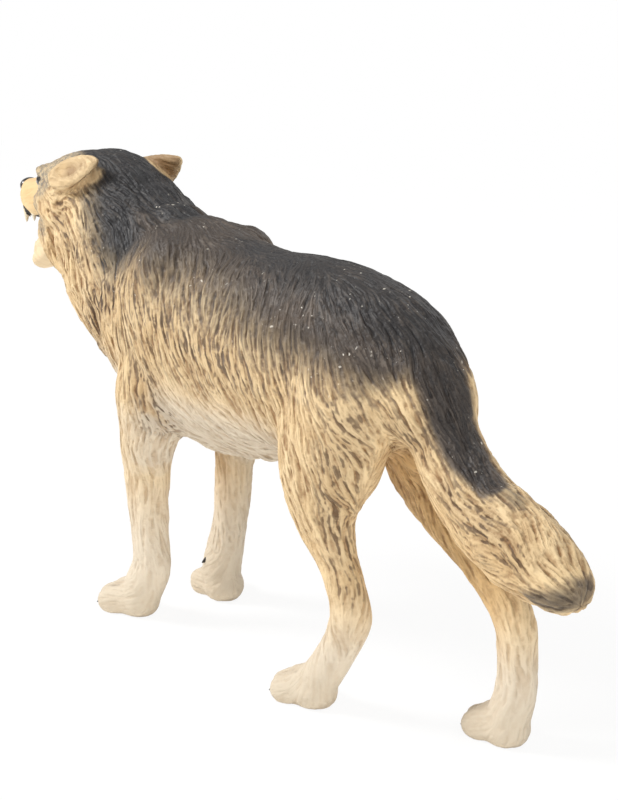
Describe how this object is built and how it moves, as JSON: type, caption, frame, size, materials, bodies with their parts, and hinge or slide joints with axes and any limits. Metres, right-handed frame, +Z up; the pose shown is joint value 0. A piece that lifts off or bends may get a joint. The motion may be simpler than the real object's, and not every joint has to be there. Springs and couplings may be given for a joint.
{
  "type": "wolf figurine",
  "caption": "Walking wolf figurine moulded in one piece, with open jaws, ears laid back, carved fur, a low brush tail and four flat soles.",
  "frame": {"origin": "under the middle of the bounding box, on the plane of the four soles", "axes": "+Z is up, the wolf faces -Y with its tail towards +Y, and its left side is +X"},
  "size_m": [0.021, 0.1112, 0.0575],
  "materials": {
    "painted_vinyl": "matte moulded vinyl with sprayed charcoal, cream and brown paint"
  },
  "bodies": {
    "root": {"wolf_figurine": "painted_vinyl"}
  },
  "joints": []
}
